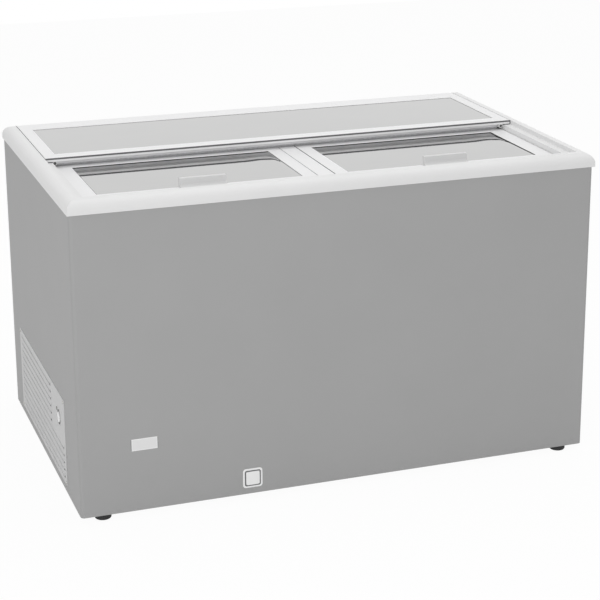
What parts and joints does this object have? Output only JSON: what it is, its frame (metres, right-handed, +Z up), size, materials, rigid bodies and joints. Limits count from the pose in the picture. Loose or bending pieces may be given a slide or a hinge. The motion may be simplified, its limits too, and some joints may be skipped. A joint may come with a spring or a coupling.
{
  "type": "chest refrigerator",
  "caption": "Chest refrigerator for kimchi: grey cabinet, white rounded rim, two stainless lids that slide back under a fixed rear cover, side grille, front drain.",
  "frame": {"origin": "middle of the footprint, on the floor", "axes": "+X to the right along the front, +Y to the rear, +Z up"},
  "size_m": [1.388, 0.858, 0.827],
  "materials": {
    "cabinet_paint": "satin grey paint on steel sheet",
    "rim_white": "smooth white extruded plastic",
    "frame_white": "smooth white plastic",
    "stainless_skin": "smooth, half mirror stainless sheet",
    "tank_steel": "satin stainless sheet",
    "rail_aluminium": "anodised",
    "brush_dark": "dense dark bristles",
    "black_rubber": "matt black",
    "white_glide": "slippery white plastic strip",
    "foam_yellow": "rigid foam",
    "zinc_sheet": "galvanised steel sheet",
    "grille_grey": "light grey paint",
    "dial_white": "white plastic",
    "compressor_black": "semi-gloss black paint",
    "copper_tube": "bare copper",
    "fin_aluminium": "bare",
    "black_plastic": "matt black plastic",
    "lamp_green": "clear green lens",
    "screw_steel": "bright screw steel"
  },
  "bodies": {
    "cabinet": {"front_panel": "cabinet_paint", "left_side_panel": "cabinet_paint", "right_side_panel": "cabinet_paint", "rear_sheet": "zinc_sheet", "base_plate": "zinc_sheet", "compartment_wall": "zinc_sheet", "foot_front_left": "black_rubber", "foot_front_right": "black_rubber", "foot_rear_left": "black_rubber", "foot_rear_right": "black_rubber", "compressor_grommets": "black_rubber", "cover_gasket": "black_rubber", "cord_gland": "black_rubber", "foot_screws": "screw_steel", "grille_screws": "screw_steel", "collar_front": "rim_white", "collar_rear": "rim_white", "collar_left": "rim_white", "collar_right": "rim_white", "runner_left": "rim_white", "runner_right": "rim_white", "mouth_sills": "rim_white", "centre_rail": "rim_white", "cross_rail": "rail_aluminium", "rail_brush": "brush_dark", "rail_brackets": "frame_white", "cover_frame": "frame_white", "badge_plate": "frame_white", "drain_bezel": "frame_white", "cover_skin": "stainless_skin", "cover_core": "foam_yellow", "insulation_foam": "foam_yellow", "tank_liner": "tank_steel", "cover_underside": "tank_steel", "drain_strainer": "tank_steel", "drain_pipe": "white_glide", "side_grille": "grille_grey", "thermostat_body": "black_plastic", "terminal_box": "black_plastic", "fan_motor": "black_plastic", "pilot_lamp": "lamp_green", "compressor": "compressor_black", "evaporator_coil": "copper_tube", "refrigerant_lines": "copper_tube", "condenser": "fin_aluminium"},
    "left_lid": {"left_lid_frame": "frame_white", "left_lid_handle": "frame_white", "left_lid_skin": "stainless_skin", "left_lid_core": "foam_yellow", "left_lid_underside": "tank_steel", "left_lid_glides": "white_glide"},
    "right_lid": {"right_lid_frame": "frame_white", "right_lid_handle": "frame_white", "right_lid_skin": "stainless_skin", "right_lid_core": "foam_yellow", "right_lid_underside": "tank_steel", "right_lid_glides": "white_glide"},
    "drain_plug": {"drain_cap": "frame_white"},
    "dial": {"thermostat_knob": "dial_white"},
    "fan": {"fan_blade": "black_plastic"}
  },
  "joints": [
    {"name": "left_lid_slide", "type": "slide", "parent": "cabinet", "child": "left_lid", "axis": [0, 1, 0], "range_m": [0, 0.285]},
    {"name": "right_lid_slide", "type": "slide", "parent": "cabinet", "child": "right_lid", "axis": [0, 1, 0], "range_m": [0, 0.285]},
    {"name": "drain_plug_pull", "type": "slide", "parent": "cabinet", "child": "drain_plug", "axis": [0, -1, 0], "range_m": [0, 0.03]},
    {"name": "dial_turn", "type": "hinge", "parent": "cabinet", "child": "dial", "pos_m": [-0.686, -0.2, 0.201], "axis": [-1, 0, 0], "range_deg": [0, 270]},
    {"name": "fan_spin", "type": "hinge", "parent": "cabinet", "child": "fan", "pos_m": [-0.597, 0.045, 0.1305], "axis": [1, 0, 0], "continuous": true}
  ]
}
